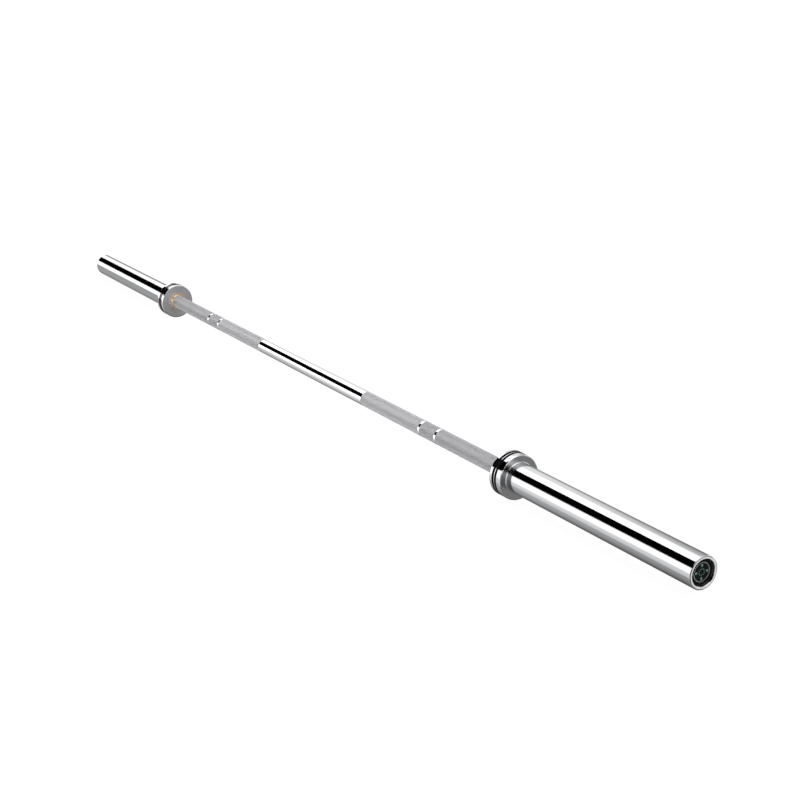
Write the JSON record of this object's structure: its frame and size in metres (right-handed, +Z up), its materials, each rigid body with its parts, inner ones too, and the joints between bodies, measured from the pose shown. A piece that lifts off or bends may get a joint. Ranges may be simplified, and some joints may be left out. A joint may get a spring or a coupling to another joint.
{
  "type": "olympic barbell",
  "caption": "Long straight weightlifting bar with knurled grips, smooth marking rings, stop collars and chromed loading sleeves that turn freely on bronze bushings.",
  "frame": {"origin": "middle of the bar, on the shaft's axis", "axes": "+X along the bar towards the right sleeve, +Z up; the bar lies level"},
  "size_m": [2.2, 0.075, 0.075],
  "materials": {
    "satin_chrome": "satin chrome, knurled grips",
    "bright_chrome": "mirror chrome plate",
    "bronze": "turned, oiled bronze",
    "hardened_steel": "ground",
    "spring_steel": "black phosphate",
    "black_plastic": "moulded, fine matt",
    "printed_disc": "dark printed film with a plain ring and tick pattern"
  },
  "bodies": {
    "bar": {"shaft": "satin_chrome", "left_bronze_washer": "bronze", "left_steel_washer": "hardened_steel", "left_shaft_ring": "spring_steel", "right_bronze_washer": "bronze", "right_steel_washer": "hardened_steel", "right_shaft_ring": "spring_steel"},
    "left_sleeve_assembly": {"left_sleeve": "bright_chrome", "left_collar": "bright_chrome", "left_inner_bushing": "bronze", "left_outer_bushing": "bronze", "left_end_cap": "black_plastic", "left_cap_ring": "spring_steel", "left_end_disc": "printed_disc"},
    "right_sleeve_assembly": {"right_sleeve": "bright_chrome", "right_collar": "bright_chrome", "right_inner_bushing": "bronze", "right_outer_bushing": "bronze", "right_end_cap": "black_plastic", "right_cap_ring": "spring_steel", "right_end_disc": "printed_disc"}
  },
  "joints": [
    {"name": "left_sleeve_spin", "type": "hinge", "parent": "bar", "child": "left_sleeve_assembly", "pos_m": [-0.89, 0, 0], "axis": [1, 0, 0], "continuous": true},
    {"name": "right_sleeve_spin", "type": "hinge", "parent": "bar", "child": "right_sleeve_assembly", "pos_m": [0.89, 0, 0], "axis": [1, 0, 0], "continuous": true}
  ]
}
